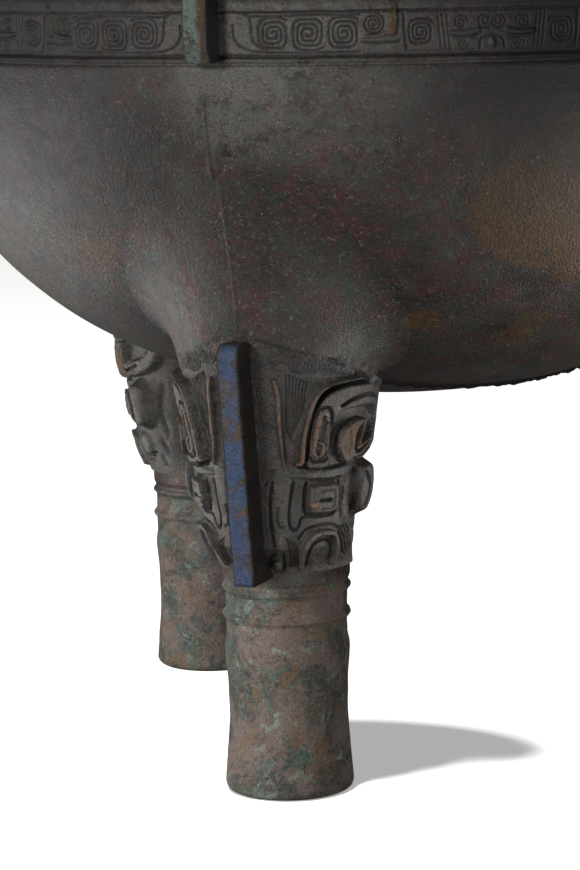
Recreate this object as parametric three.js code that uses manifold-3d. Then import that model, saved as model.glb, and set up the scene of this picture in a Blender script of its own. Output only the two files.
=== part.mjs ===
// A bronze ding: a round, open cooking vessel cast in one piece, on three column legs,
// with two upright loop handles on its rim. Each leg's upper part is an animal mask in
// relief, split by a tall flange, and a narrow ornament band with six short flanges
// runs round the wall under the lip.
//
// Millimetres, +Z up. The feet stand on z = 0 and the bowl's axis is Z. The front leg
// points along -Y and the handles stand on the X axis. Azimuths run from -Y towards +X.

import * as THREE from "three";
import { mergeVertices } from "three/addons/utils/BufferGeometryUtils.js";
import Module from "manifold-3d";

const wasm = await Module();
wasm.setup();

// Bowl
const bandRadius = 223; // outside of the wall at the ornament band
const bandBottom = 322.6; // height of the band's lower border
const bandHeight = 17.2;
const neckHeight = 8; // plain strip between the band and the lip
const lipThickness = 8;
const lipWidth = 14; // how far the lip stands out from the wall
const lipRounding = 1.8;
const bowlBottom = 158.2; // height of the bowl's lowest point, outside
const wallThickness = 5.5;
const bellyFullness = 2; // higher keeps the wall upright further down
const bottomFlatness = 2.2; // higher makes the bottom flatter
const borderRelief = 1.2; // how far the band's two borders stand out
const borderWidth = 2.4;
const bandSink = 0.9; // how deep the band's ground lies between its borders

// Short flanges on the band
const bandFlangeCount = 6;
const bandFlangeThickness = 11;
const bandFlangeReach = 13;
const bandFlangeTaper = 1.2; // the outer edge is narrower by this much on each side

// Legs
const legCount = 3;
const legCircle = 146; // from the bowl's axis to a leg's axis
const footRadius = 28;
const footRounding = 3.5;
const waistRadius = 25.9;
const waistHeight = 34;
const shoulderRadius = 27.3; // the shaft's upper end
const shoulderHeight = 64;
const columnRadius = 26.5; // the column between its rings
const ringRelief = 1.6;
const ringWidth = 5.5; // height of one ring, root to root
const ringSpacing = 12.1;
const ringCount = 2;
const topRingHeight = 90.7;

// Animal masks
const maskBottom = 101;
const maskStep = 2.6; // how far the mask's lower edge stands out from the column
const maskFlare = 0.14; // growth of the mask's radius for each millimetre of height
const maskSwell = 6.5; // how far the mask's front bulges outwards
const maskSwellRise = 12; // height over which the bulge comes in
const maskHeight = 102; // up to the flange's upper end
const legFlangeBottom = 99;
const legFlangeThickness = 9.5;
const legFlangeReach = 14.3; // beyond the mask's ground
const legFlangeRound = 5;
const frontFairing = 15; // size of the fairing between leg and bowl, in front
const backFairing = 8; // and behind

// Handles
const handleHeight = 92;
const handleWidth = 90;
const handleFootWidth = 82;
const handleThickness = 17;
const handleBar = 21; // width of the bar round the opening
const handleCorner = 36;
const handleLean = 4; // degrees outwards
const handleGrooveWidth = 7;
const handleGrooveDepth = 2;

// Facets
const bowlSegments = 40;
const bowlRows = 8;
const legSegments = 16;
const maskRows = 3;
const fairingRows = 3;

const overlap = 3; // how deep a joined piece is rooted in its neighbour
const degrees = Math.PI / 180;
const rimTop = bandBottom + bandHeight + neckHeight + lipThickness;
const lipUnderside = rimTop - lipThickness;
const bandTop = bandBottom + bandHeight;
const legFlangeTop = maskBottom + maskHeight;
const rimInnerRadius = bandRadius - wallThickness;
const lipRadius = bandRadius + lipWidth;

// Makes a manifold solid of a closed three.js geometry.
function solidOf(geometry) {
  const bare = geometry.index ? geometry.toNonIndexed() : geometry.clone();
  bare.deleteAttribute("normal");
  bare.deleteAttribute("uv");
  const merged = mergeVertices(bare, 1e-4);
  return new wasm.Manifold(
    new wasm.Mesh({
      numProp: 3,
      vertProperties: merged.getAttribute("position").array,
      triVerts: new Uint32Array(merged.index.array),
    }),
  );
}

// Turns a solid about Z. Each row is a function of the azimuth that gives [radius, height];
// the first and last rows lie on the axis.
function turned(rows, segments) {
  const last = rows.length - 1;
  const blank = rows.map((row, k) => new THREE.Vector2(k % last === 0 ? 0 : 1, k));
  const geometry = new THREE.LatheGeometry(blank, segments);
  const position = geometry.getAttribute("position");
  for (let i = 0; i < position.count; i++) {
    const step = i - (i % rows.length);
    const azimuth = (step / rows.length / segments) * 2 * Math.PI;
    const [radius, height] = rows[i % rows.length](azimuth);
    position.setXYZ(i, radius * Math.sin(azimuth), -radius * Math.cos(azimuth), height);
  }
  return solidOf(geometry);
}

const fixedRows = (points) => points.map((point) => () => point);

// The bowl's outer height at a radius, and its point at a share of the way down.
function bowlHeightAt(radius) {
  const share = Math.min(1, radius / bandRadius);
  const drop = (1 - share ** bottomFlatness) ** (1 / bellyFullness);
  return bandBottom - (bandBottom - bowlBottom) * drop;
}

function bowlPoint(share, inset) {
  const angle = share * 90 * degrees;
  return [
    (bandRadius - inset) * Math.cos(angle) ** (2 / bottomFlatness),
    bandBottom - (bandBottom - bowlBottom - inset) * Math.sin(angle) ** (2 / bellyFullness),
  ];
}

function bowlRowsFromBottom(inset) {
  const rows = [[0, bowlBottom + inset]];
  for (let k = 1; k < bowlRows; k++) rows.push(bowlPoint(1 - k / bowlRows, inset));
  return rows;
}

// The bowl without its hollow: belly, ornament band with its borders, neck and lip.
function bowlOutside() {
  const borderTopOf = (z) => [
    [bandRadius, z - borderWidth / 2],
    [bandRadius + borderRelief, z],
    [bandRadius - bandSink, z + borderWidth / 2],
  ];
  return turned(
    fixedRows([
      ...bowlRowsFromBottom(0),
      ...borderTopOf(bandBottom),
      [bandRadius - bandSink, bandTop - borderWidth / 2],
      [bandRadius + borderRelief, bandTop],
      [bandRadius, bandTop + borderWidth / 2],
      [bandRadius, lipUnderside],
      [lipRadius - lipRounding, lipUnderside],
      [lipRadius, lipUnderside + lipRounding],
      [lipRadius, rimTop - lipRounding],
      [lipRadius - lipRounding, rimTop],
      [0, rimTop],
    ]),
    bowlSegments,
  );
}

function bowlHollow() {
  return turned(
    fixedRows([
      ...bowlRowsFromBottom(wallThickness),
      [rimInnerRadius, bandBottom],
      [rimInnerRadius, rimTop + overlap],
      [0, rimTop + overlap],
    ]),
    bowlSegments,
  );
}

// Radius of the mask's ground from the leg's axis, without its swelling and with it.
const maskGround = (z) => columnRadius + maskStep + maskFlare * (z - maskBottom);

function maskRadius(azimuth, z) {
  const swell = maskSwell * Math.min(1, Math.max(0, (z - maskBottom) / maskSwellRise));
  return maskGround(z) + swell * Math.cos(azimuth);
}

// Height of the bowl's outside over a point at this azimuth and radius from the leg's axis.
function bowlOverLeg(azimuth, radius) {
  const across = radius * Math.sin(azimuth);
  const out = legCircle + radius * Math.cos(azimuth);
  return bowlHeightAt(Math.hypot(across, out));
}

const fairingSize = (azimuth) =>
  backFairing + ((frontFairing - backFairing) * (1 + Math.cos(azimuth))) / 2;

// Where the mask's surface ends and the fairing up to the bowl starts.
function fairingStart(azimuth) {
  let z = legFlangeTop;
  for (let k = 0; k < 8; k++) {
    z = bowlOverLeg(azimuth, maskRadius(azimuth, z)) - fairingSize(azimuth);
  }
  return [maskRadius(azimuth, z), z];
}

// The fairing is a curve from the mask's surface out to the bowl's surface.
function fairingPoint(azimuth, share) {
  const [radius, start] = fairingStart(azimuth);
  const size = fairingSize(azimuth);
  const corner = bowlOverLeg(azimuth, radius);
  const end = bowlOverLeg(azimuth, radius + size);
  const back = 1 - share;
  return [
    radius + size * share * share,
    back * back * start + 2 * back * share * corner + share * share * end + overlap * share ** 4,
  ];
}

// One leg, upright on its own axis, with its front at azimuth 0.
function plainLeg() {
  const rows = fixedRows([
    [0, 0],
    [footRadius - footRounding, 0],
    [footRadius, footRounding],
    [(footRadius + waistRadius) / 2, (footRounding + waistHeight) / 2.2],
    [waistRadius, waistHeight],
    [shoulderRadius, shoulderHeight],
    [columnRadius, shoulderHeight + ringWidth],
  ]);
  for (let k = ringCount - 1; k >= 0; k--) {
    const z = topRingHeight - k * ringSpacing;
    rows.push(
      () => [columnRadius, z - ringWidth / 2],
      () => [columnRadius + ringRelief, z],
      () => [columnRadius, z + ringWidth / 2],
    );
  }
  rows.push(() => [columnRadius, maskBottom - maskStep]);
  for (let k = 0; k <= maskRows; k++) {
    rows.push((azimuth) => {
      const z = maskBottom + (fairingStart(azimuth)[1] - maskBottom) * (k / maskRows);
      return [maskRadius(azimuth, z), z];
    });
  }
  for (let k = 1; k <= fairingRows; k++) {
    rows.push((azimuth) => fairingPoint(azimuth, k / fairingRows));
  }
  rows.push(() => [0, bowlHeightAt(legCircle) + overlap]);
  return turned(rows, legSegments);
}

// Ornament on the mask is drawn flat and then wrapped round the leg. On the drawing a point is
// [degrees from the flange, height over the mask's lower edge], and heights, widths and
// reliefs are in hundredths of the mask's height.
const maskUnit = maskHeight / 100;
const degreeWidth = maskGround(maskBottom + maskHeight / 2) * degrees;
const drawnAt = ([azimuth, up]) =>
  new THREE.Vector2(azimuth * degreeWidth, maskBottom + up * maskUnit);

// The outline of a stroke along a centre line, with a width at each end and in the middle.
function strokeOutline(points, [startWidth, middleWidth, endWidth], steps) {
  const line = new THREE.SplineCurve(points.map(drawnAt));
  const left = [];
  const right = [];
  for (let k = 0; k <= steps; k++) {
    const share = k / steps;
    const at = line.getPoint(share);
    const along = line.getTangent(share);
    const width =
      share < 0.5
        ? THREE.MathUtils.lerp(startWidth, middleWidth, share * 2)
        : THREE.MathUtils.lerp(middleWidth, endWidth, share * 2 - 1);
    const side = new THREE.Vector2(-along.y, along.x).multiplyScalar((width * maskUnit) / 2);
    left.push(at.clone().add(side));
    right.unshift(at.clone().sub(side));
  }
  return [...left, ...right];
}

// A many-sided boss, squarer as its power rises.
function bossOutline(centre, width, height, power, sides) {
  const outline = [];
  for (let k = 0; k < sides; k++) {
    const angle = ((k + 0.5) / sides) * 2 * Math.PI;
    const c = Math.cos(angle);
    const s = Math.sin(angle);
    const across = (width / 2) * Math.sign(c) * Math.abs(c) ** (2 / power);
    const up = (height / 2) * Math.sign(s) * Math.abs(s) ** (2 / power);
    outline.push(drawnAt(centre).add(new THREE.Vector2(across * maskUnit, up * maskUnit)));
  }
  return outline;
}

// Raises a flat outline off the mask's ground, on one side of the flange or the other.
function raised(outline, relief, bevel, side) {
  const height = relief * maskUnit;
  const slope = bevel * maskUnit;
  const geometry = new THREE.ExtrudeGeometry(new THREE.Shape(outline), {
    depth: height + overlap - 2 * slope,
    bevelEnabled: true,
    bevelSegments: 1,
    bevelSize: slope,
    bevelOffset: -slope,
    bevelThickness: slope,
  });
  const position = geometry.getAttribute("position");
  for (let i = 0; i < position.count; i++) {
    const azimuth = (position.getX(i) / degreeWidth) * degrees;
    const z = position.getY(i);
    const radius = maskRadius(azimuth, z) + position.getZ(i) + slope - overlap;
    position.setXYZ(i, side * radius * Math.sin(azimuth), -radius * Math.cos(azimuth), z);
  }
  if (side < 0) {
    for (let i = 0; i < position.count; i += 3) {
      const a = new THREE.Vector3().fromBufferAttribute(position, i);
      const b = new THREE.Vector3().fromBufferAttribute(position, i + 1);
      position.setXYZ(i, b.x, b.y, b.z);
      position.setXYZ(i + 1, a.x, a.y, a.z);
    }
  }
  return solidOf(geometry);
}

// Half a mask: coiled horn, forehead ridge, brow, jaw, eye, ear, nose and nostril.
const maskStrokes = [
  {
    // horn: up beside the forehead, over, down behind and coiled in
    line: [
      [38, 49],
      [38.5, 60],
      [43, 71],
      [60, 76.3],
      [80, 75.5],
      [95, 72],
      [102, 64.5],
      [93, 56.5],
      [78, 52.5],
      [66, 52],
      [61, 57],
      [65, 63],
    ],
    widths: [12, 11, 6],
    relief: 4,
    bevel: 1.5,
    steps: 9,
  },
  {
    // forehead ridge beside the flange
    line: [
      [17, 84],
      [19, 72],
      [19.5, 60],
      [20, 49],
      [15.5, 38],
    ],
    widths: [2.5, 3.4, 3],
    relief: 3,
    bevel: 1,
    steps: 2,
  },
  {
    // brow
    line: [
      [27, 44.6],
      [45, 43.6],
      [65, 44],
    ],
    widths: [3, 4, 4],
    relief: 2.4,
    bevel: 1,
    steps: 2,
  },
  {
    // jaw: an arch from the snout up, back and down
    line: [
      [31.5, 3],
      [34, 13],
      [46, 17.5],
      [59, 14],
      [62.5, 4],
    ],
    widths: [3, 4, 3.4],
    relief: 3.3,
    bevel: 1.2,
    steps: 4,
  },
];

const maskBosses = [
  { at: [46.3, 33.3], size: [15.6, 13.6], power: 4.2, relief: 4.6, bevel: 1.5, sides: 4 }, // eye
  { at: [80.5, 34.3], size: [13.2, 21.6], power: 2.3, relief: 5.3, bevel: 2.2, sides: 6 }, // ear
  { at: [14.5, 22.5], size: [9, 34], power: 4, relief: 1.8, bevel: 0.8, sides: 4 }, // nose
  { at: [14, 5.2], size: [6.8, 6.8], power: 2, relief: 4, bevel: 1.4, sides: 6 }, // nostril
];

function maskOrnaments() {
  const made = [];
  for (const side of [1, -1]) {
    for (const { line, widths, relief, bevel, steps } of maskStrokes) {
      made.push(raised(strokeOutline(line, widths, steps), relief, bevel, side));
    }
    for (const { at, size, power, relief, bevel, sides } of maskBosses) {
      made.push(raised(bossOutline(at, ...size, power, sides), relief, bevel, side));
    }
  }
  return made;
}

// A plate in the plane of a leg or band flange: its outline is [distance out, height].
function plate(outline, thickness) {
  const shape = new THREE.Shape(outline.map(([out, z]) => new THREE.Vector2(out, z)));
  const geometry = new THREE.ExtrudeGeometry(shape, { depth: thickness, bevelEnabled: false });
  geometry.translate(0, 0, -thickness / 2);
  geometry.applyMatrix4(
    new THREE.Matrix4().makeBasis(
      new THREE.Vector3(0, -1, 0),
      new THREE.Vector3(0, 0, 1),
      new THREE.Vector3(-1, 0, 0),
    ),
  );
  return geometry;
}

// The tall flange down the front of a leg, with a rounded upper end.
function legFlange() {
  const edgeAt = (z) => maskGround(z) + maskSwell + legFlangeReach;
  const root = columnRadius - overlap;
  const outline = [
    [root, legFlangeBottom],
    [edgeAt(legFlangeBottom), legFlangeBottom],
    [edgeAt(legFlangeTop), legFlangeTop - legFlangeRound],
    [edgeAt(legFlangeTop) - legFlangeRound / 3, legFlangeTop - legFlangeRound / 3],
    [edgeAt(legFlangeTop) - legFlangeRound, legFlangeTop],
    [maskRadius(0, legFlangeTop), legFlangeTop + overlap],
    [root, legFlangeTop],
  ];
  return solidOf(plate(outline, legFlangeThickness));
}

function leg() {
  return maskOrnaments().reduce((whole, piece) => whole.add(piece), plainLeg()).add(legFlange());
}

// A short flange over the band, with a narrower outer edge.
function bandFlange() {
  const reach = bandRadius + bandFlangeReach;
  const outline = [
    [bandRadius - overlap, bandBottom - borderWidth],
    [bandRadius, bandBottom - borderWidth],
    [reach, bandBottom],
    [reach, lipUnderside + overlap / 2],
    [bandRadius - overlap, lipUnderside + overlap / 2],
  ];
  const geometry = plate(outline, bandFlangeThickness);
  const position = geometry.getAttribute("position");
  for (let i = 0; i < position.count; i++) {
    const outer = -position.getY(i) > bandRadius + 1;
    const x = position.getX(i);
    position.setX(i, x - (outer ? Math.sign(x) * bandFlangeTaper : 0));
  }
  return solidOf(geometry);
}

// The outline of a handle, or of its opening or groove: a tall arch, a little wider above.
function arch(inset, foot) {
  const top = handleHeight - inset;
  const half = handleWidth / 2 - inset;
  const footHalf = handleFootWidth / 2 - inset;
  const corner = Math.max(6, handleCorner - inset);
  const shape = new THREE.Shape();
  shape.moveTo(-footHalf, foot);
  shape.lineTo(footHalf, foot);
  shape.lineTo(half, top - corner);
  shape.absarc(half - corner, top - corner, corner, 0, Math.PI / 2, false);
  shape.absarc(corner - half, top - corner, corner, Math.PI / 2, Math.PI, false);
  shape.closePath();
  return shape;
}

// A handle at azimuth 90, on the X axis. It stands on the lip and leans out.
function handle() {
  const curveSegments = 6;
  const sunk = lipThickness / 2;
  const slab = (shape, depth, from) => {
    const geometry = new THREE.ExtrudeGeometry(shape, { depth, bevelEnabled: false, curveSegments });
    geometry.translate(0, 0, from);
    return solidOf(geometry);
  };
  const bar = slab(arch(0, -sunk), handleThickness, 0);
  const opening = slab(arch(handleBar, 0), handleThickness + 2 * overlap, -overlap);
  const grooveInset = (handleBar - handleGrooveWidth) / 2;
  const grooveOuter = slab(arch(grooveInset, 0), handleGrooveDepth + overlap, handleThickness - handleGrooveDepth);
  const grooveInner = slab(
    arch(grooveInset + handleGrooveWidth, -overlap),
    handleGrooveDepth + 3 * overlap,
    handleThickness - handleGrooveDepth - overlap,
  );
  const made = bar.subtract(opening).subtract(grooveOuter.subtract(grooveInner));
  const middle = (rimInnerRadius + lipRadius) / 2;
  return made
    .rotate([90, 0, 90])
    .rotate([0, handleLean, 0])
    .translate([middle - handleThickness / 2, 0, rimTop]);
}

// The whole casting is one solid.
function vessel() {
  let whole = bowlOutside();
  for (let k = 0; k < legCount; k++) {
    whole = whole.add(leg().translate([0, -legCircle, 0]).rotate([0, 0, (k * 360) / legCount]));
  }
  for (let k = 0; k < bandFlangeCount; k++) {
    whole = whole.add(bandFlange().rotate([0, 0, (k * 360) / bandFlangeCount]));
  }
  whole = whole.subtract(bowlHollow());
  for (const turn of [0, 180]) whole = whole.add(handle().rotate([0, 0, turn]));
  return whole;
}

function meshOf(solid, name, material) {
  const { vertProperties, triVerts } = solid.getMesh();
  const geometry = new THREE.BufferGeometry();
  geometry.setAttribute("position", new THREE.BufferAttribute(vertProperties, 3));
  geometry.setIndex(new THREE.BufferAttribute(triVerts, 1));
  geometry.computeVertexNormals();
  const mesh = new THREE.Mesh(geometry, material);
  mesh.name = name;
  return mesh;
}

const patinatedBronze = new THREE.MeshStandardMaterial({
  color: 0x4b443d,
  roughness: 0.62,
  metalness: 0.35,
});

const ding = new THREE.Group();
ding.add(meshOf(vessel(), "ding_vessel", patinatedBronze));

export default ding;
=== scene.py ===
# A bronze ding: one casting on three column legs, long buried, with a heavy copper patina.
# Sizes are in millimetres here and turned to metres as each piece gets its place.
import bpy
import math
import numpy as np
from mathutils import Matrix, Vector


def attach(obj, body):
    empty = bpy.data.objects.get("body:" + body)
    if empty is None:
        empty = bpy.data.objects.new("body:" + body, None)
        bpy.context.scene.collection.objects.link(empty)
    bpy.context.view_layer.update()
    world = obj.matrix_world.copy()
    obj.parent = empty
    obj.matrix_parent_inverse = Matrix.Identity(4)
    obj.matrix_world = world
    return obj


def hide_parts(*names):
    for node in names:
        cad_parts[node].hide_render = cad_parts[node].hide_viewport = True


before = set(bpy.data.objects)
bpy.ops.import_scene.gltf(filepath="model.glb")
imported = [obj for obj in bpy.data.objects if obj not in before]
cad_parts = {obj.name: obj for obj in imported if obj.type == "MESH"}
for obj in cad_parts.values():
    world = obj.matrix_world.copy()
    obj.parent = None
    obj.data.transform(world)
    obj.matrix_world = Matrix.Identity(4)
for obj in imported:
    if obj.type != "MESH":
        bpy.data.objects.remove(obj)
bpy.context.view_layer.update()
mm = 0.001
castingNode = "ding_vessel"


def deselectAll():
    bpy.ops.object.select_all(action="DESELECT")


def takeUp(piece):
    deselectAll()
    piece.select_set(True)
    bpy.context.view_layer.objects.active = piece


# A flat grid one unit wide, with each point's share across and up, ready to be wrapped.
def newGrid(name, columns, rows):
    deselectAll()
    bpy.ops.mesh.primitive_grid_add(x_subdivisions=columns, y_subdivisions=rows, size=1)
    piece = bpy.context.active_object
    piece.name = name
    spots = np.empty(len(piece.data.vertices) * 3, np.float32)
    piece.data.vertices.foreach_get("co", spots)
    return piece, spots[0::3].astype(float) + 0.5, spots[1::3].astype(float) + 0.5


def setSpots(piece, x, y, z):
    spots = np.stack([x, y, z], 1) * mm
    piece.data.vertices.foreach_set("co", spots.astype(np.float32).ravel())
    piece.data.update()


def setValues(piece, name, values):
    layer = piece.data.attributes.new(name, "FLOAT", "POINT")
    layer.data.foreach_set("value", values.astype(np.float32))


# Joins the wrapped edges and the poles, and turns all faces outwards.
def closeUp(piece):
    takeUp(piece)
    bpy.ops.object.mode_set(mode="EDIT")
    bpy.ops.mesh.select_all(action="SELECT")
    bpy.ops.mesh.remove_doubles(threshold=2e-6)
    bpy.ops.mesh.dissolve_degenerate(threshold=1e-7)
    bpy.ops.mesh.normals_make_consistent(inside=False)
    bpy.ops.object.mode_set(mode="OBJECT")
    bpy.ops.object.shade_smooth()


# Closes the open ends of a ridge or ring.
def capEnds(piece):
    takeUp(piece)
    bpy.ops.object.mode_set(mode="EDIT")
    bpy.ops.mesh.select_all(action="SELECT")
    bpy.ops.mesh.fill_holes(sides=0)
    bpy.ops.mesh.normals_make_consistent(inside=False)
    bpy.ops.object.mode_set(mode="OBJECT")


def softStep(x):
    x = np.clip(x, 0, 1)
    return x * x * (3 - 2 * x)


# Slow unevenness of a cast surface, the same at a place whatever piece it is on.
def castWaves(x, y, z, length, seed):
    rng = np.random.default_rng(seed)
    total = np.zeros_like(x)
    for k in range(7):
        direction = rng.normal(size=3)
        direction /= np.linalg.norm(direction)
        wave = 2 * math.pi / (length * rng.uniform(0.5, 1.5))
        along = (x * direction[0] + y * direction[1] + z * direction[2]) * wave
        total += np.sin(along + rng.uniform(0, 6.28) + 1.5 * np.sin(along * 0.37 + k))
    return total / 7


# A smooth curve through a few points.
def through(points, steps=6):
    p = np.array(points, float)
    q = np.vstack([2 * p[0] - p[1], p, 2 * p[-1] - p[-2]])
    made = []
    for k in range(len(p) - 1):
        a, b, c, d = q[k : k + 4]
        for j in range(steps):
            t = j / steps
            made.append(
                0.5 * (2 * b + (c - a) * t + (2 * a - 5 * b + 4 * c - d) * t * t)
                + 0.5 * (3 * b - a - 3 * c + d) * t**3
            )
    return np.array(made + [p[-1]])


# Distance of the points near a line from it, and how far along the line they are.
def nearLine(line, s, t, reach):
    low = line.min(0) - reach
    high = line.max(0) + reach
    near = np.nonzero((s > low[0]) & (s < high[0]) & (t > low[1]) & (t < high[1]))[0]
    ps, pt = s[near], t[near]
    away = np.full(len(near), 1e9)
    along = np.zeros(len(near))
    last = len(line) - 1
    for k in range(last):
        a, b = line[k], line[k + 1]
        d = b - a
        share = np.clip(((ps - a[0]) * d[0] + (pt - a[1]) * d[1]) / max(d @ d, 1e-9), 0, 1)
        gap = np.hypot(ps - a[0] - share * d[0], pt - a[1] - share * d[1])
        closer = gap < away
        away[closer] = gap[closer]
        along[closer] = (k + share[closer]) / last
    return near, away, along


def newRelief(s, t, scale):
    relief = {"s": s, "t": t, "scale": scale}
    for name in ("up", "cut", "wear"):
        relief[name] = np.zeros_like(s)
    return relief


def raiseLine(relief, points, width, height, edge=0.9, steps=6, wear=0.0):
    line = through(np.array(points, float) * relief["scale"], steps)
    widths = np.atleast_1d(width).astype(float)
    near, away, along = nearLine(line, relief["s"], relief["t"], widths.max() / 2 + edge)
    half = np.interp(along, np.linspace(0, 1, len(widths)), widths) / 2
    rise = softStep((half - away) / edge + 0.5)
    relief["up"][near] = np.maximum(relief["up"][near], height * rise)
    relief["wear"][near] = np.maximum(relief["wear"][near], wear * softStep((half - away) / edge + 0.1))


def cutAlong(relief, line, width, depth):
    near, away, _ = nearLine(line, relief["s"], relief["t"], width)
    dip = depth * softStep(1 - away / width)
    relief["cut"][near] = np.maximum(relief["cut"][near], dip)


def cutLine(relief, points, width, depth):
    cutAlong(relief, through(np.array(points, float) * relief["scale"]), width, depth)


# Lowers what has been raised inside a line, to a flat floor.
def sinkLine(relief, points, width, height, edge=0.8):
    line = through(np.array(points, float) * relief["scale"])
    near, away, _ = nearLine(line, relief["s"], relief["t"], width / 2 + edge)
    share = softStep((width / 2 - away) / edge + 0.5)
    now = relief["up"][near]
    relief["up"][near] = np.where(now > height, now + (height - now) * share, now)
    relief["wear"][near] *= 1 - share


# A squarish boss: its sides get straighter as the power rises.
def raiseBoss(relief, centre, size, height, power=3.0, edge=0.35, dome=0.3):
    c = np.array(centre, float) * relief["scale"]
    ds = np.abs(relief["s"] - c[0]) / (size[0] / 2)
    dt = np.abs(relief["t"] - c[1]) / (size[1] / 2)
    away = (ds**power + dt**power) ** (1 / power)
    lift = height * softStep((1 - away) / edge + 0.5) * (1 - dome * np.minimum(away, 1) ** 2)
    relief["up"] = np.maximum(relief["up"], np.where(away < 1 + edge, lift, 0))


# The winding line of a thunder-pattern spiral, rounder or squarer.
def spiralPoints(centre, size, pitch, turns, hand, power, start=0.0, stretch=1.0):
    angle = np.linspace(0, turns * 2 * math.pi, int(turns * 22))
    r = size - pitch * angle / (2 * math.pi)
    c, s = np.cos(start + hand * angle), np.sin(start + hand * angle)
    x = r * np.sign(c) * np.abs(c) ** (2 / power) * stretch
    y = r * np.sign(s) * np.abs(s) ** (2 / power)
    return np.stack([centre[0] + x, centre[1] + y], 1)


def cutSpiral(relief, centre, size, pitch, turns, hand, power, width, depth, start=0.0, stretch=1.0):
    c = np.array(centre, float) * relief["scale"]
    cutAlong(relief, spiralPoints(c, size, pitch, turns, hand, power, start, stretch), width, depth)


def finish(piece):
    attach(piece, "root")
    piece.data.materials.clear()
    piece.data.materials.append(patina)
    print("made", piece.name, len(piece.data.polygons), "faces")


# Materials

def linear(hexColour):
    values = [int(hexColour[k : k + 2], 16) / 255 for k in (1, 3, 5)]
    return [v / 12.92 if v <= 0.04045 else ((v + 0.055) / 1.055) ** 2.4 for v in values] + [1.0]


def addNode(tree, kind, settings=None, links=None):
    node = tree.nodes.new(kind)
    for key, value in (settings or {}).items():
        if key == "stops":
            ramp = node.color_ramp
            while len(ramp.elements) < len(value):
                ramp.elements.new(1.0)
            for element, (place, colour) in zip(ramp.elements, value):
                element.position = place
                element.color = linear(colour) if isinstance(colour, str) else [colour] * 3 + [1.0]
        elif isinstance(key, str) and hasattr(node, key):
            setattr(node, key, value)
        else:
            node.inputs[key].default_value = value
    for key, source in (links or {}).items():
        tree.links.new(source, node.inputs[key])
    return node


patinaLook = {
    # size in millimetres, detail, roughness and distortion of each cloud, and how far it is moved
    "clouds": {
        "grain": (0.9, 2.0, 0.6, 0.0, 0.0),
        "fine": (2.0, 3.0, 0.7, 0.0, 0.0),
        "middle": (5.5, 4.0, 0.65, 0.0, 0.0),
        "ragged": (8.0, 8.0, 0.8, 0.0, 0.0),
        "torn": (11.0, 10.0, 0.82, 0.5, 9.0),
        "ground": (34.0, 8.0, 0.66, 0.4, 0.0),
        "maroon": (8.0, 8.0, 0.78, 0.6, 0.0),
        "maroonZone": (48.0, 3.0, 0.6, 0.0, 21.0),
        "green": (9.0, 8.0, 0.78, 0.3, 3.0),
        "copper": (3.4, 5.0, 0.75, 0.0, 13.0),
        "speckZone": (9.0, 4.0, 0.6, 0.0, 5.0),
        "dust": (1.9, 3.0, 0.7, 0.0, 17.0),
    },
    "cells": {"speck": 2.4, "pit": 3.4},  # millimetres between neighbours
    # how each mark is read off a cloud or a layer of cells
    "marks": {
        "ground": ("ground", (0.30, "#2a2826"), (0.42, "#37342f"), (0.54, "#45413c"), (0.66, "#524f48"),
                   (0.78, "#5f5d56")),
        "shade": ("grain", (0.32, 0.5), (0.5, 0.95), (0.75, 1.0)),
        "torn": ("torn", (0.36, 0.0), (0.62, 1.0)),
        "maroon": ("maroon", (0.46, 0.0), (0.58, 0.85)),
        "maroonZone": ("maroonZone", (0.38, 0.25), (0.52, 1.0)),
        "green": ("green", (0.50, 0.0), (0.62, 0.8)),
        "crustGround": ("fine", (0.3, 0.0), (0.7, 0.8)),
        "copper": ("copper", (0.38, 0.0), (0.66, 0.9)),
        "speck": ("speck", (0.07, 1.0), (0.17, 0.0)),
        "speckZone": ("speckZone", (0.46, 0.0), (0.62, 0.7)),
        "dust": ("dust", (0.55, 0.0), (0.68, 0.6)),
        "dustZone": ("ragged", (0.44, 0.15), (0.58, 1.0)),
        "pit": ("pit", (0.10, 1.0), (0.24, 0.0)),
        "pitZone": ("ragged", (0.45, 0.0), (0.6, 1.0)),
    },
    # colours of the crusts, with cloud size, where each begins and is full, and how far it is moved
    "crusts": [
        ("#5b7267", 17.0, 0.50, 0.60, 23.0),
        ("#84706a", 23.0, 0.46, 0.55, 11.0),
        ("#8a9c90", 8.0, 0.56, 0.64, 37.0),
        ("#7d6347", 11.0, 0.54, 0.62, 51.0),
        ("#46546a", 14.0, 0.62, 0.67, 67.0),
        ("#2c302f", 12.0, 0.57, 0.66, 83.0),
    ],
    "crustGround": "#62675f",
    # where each patch begins and is full, and its strength
    "patches": {
        "bloom": (0.2, 0.9, 0.6),
        "ochre": (0.47, 0.58, 0.9),
        "malachite": (0.42, 0.62, 0.8),
        "azurite": (0.36, 0.56, 0.8),
    },
    # the coats of colour, in the order in which they lie over each other
    "under": {"maroon": "#5a3334", "green": "#39473f"},
    "over": {
        "bloom": "#74736f",
        "ochre": "#5e4629",
        "malachite": "#7d9a8c",
        "azurite": "#3c608d",
        "copper": "#95643f",
        "speck": "#93a79c",
        "dust": "#83897f",
        "pit": "#1b1918",
    },
    # the colour of the painted shade
    "shade_paint": "#151414",
    "roughness": 0.38,
    "metallic": 0.2,
    "grainBump": 0.34,
    "middleBump": 0.4,
    "crustBump": 1.4,
}
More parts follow.
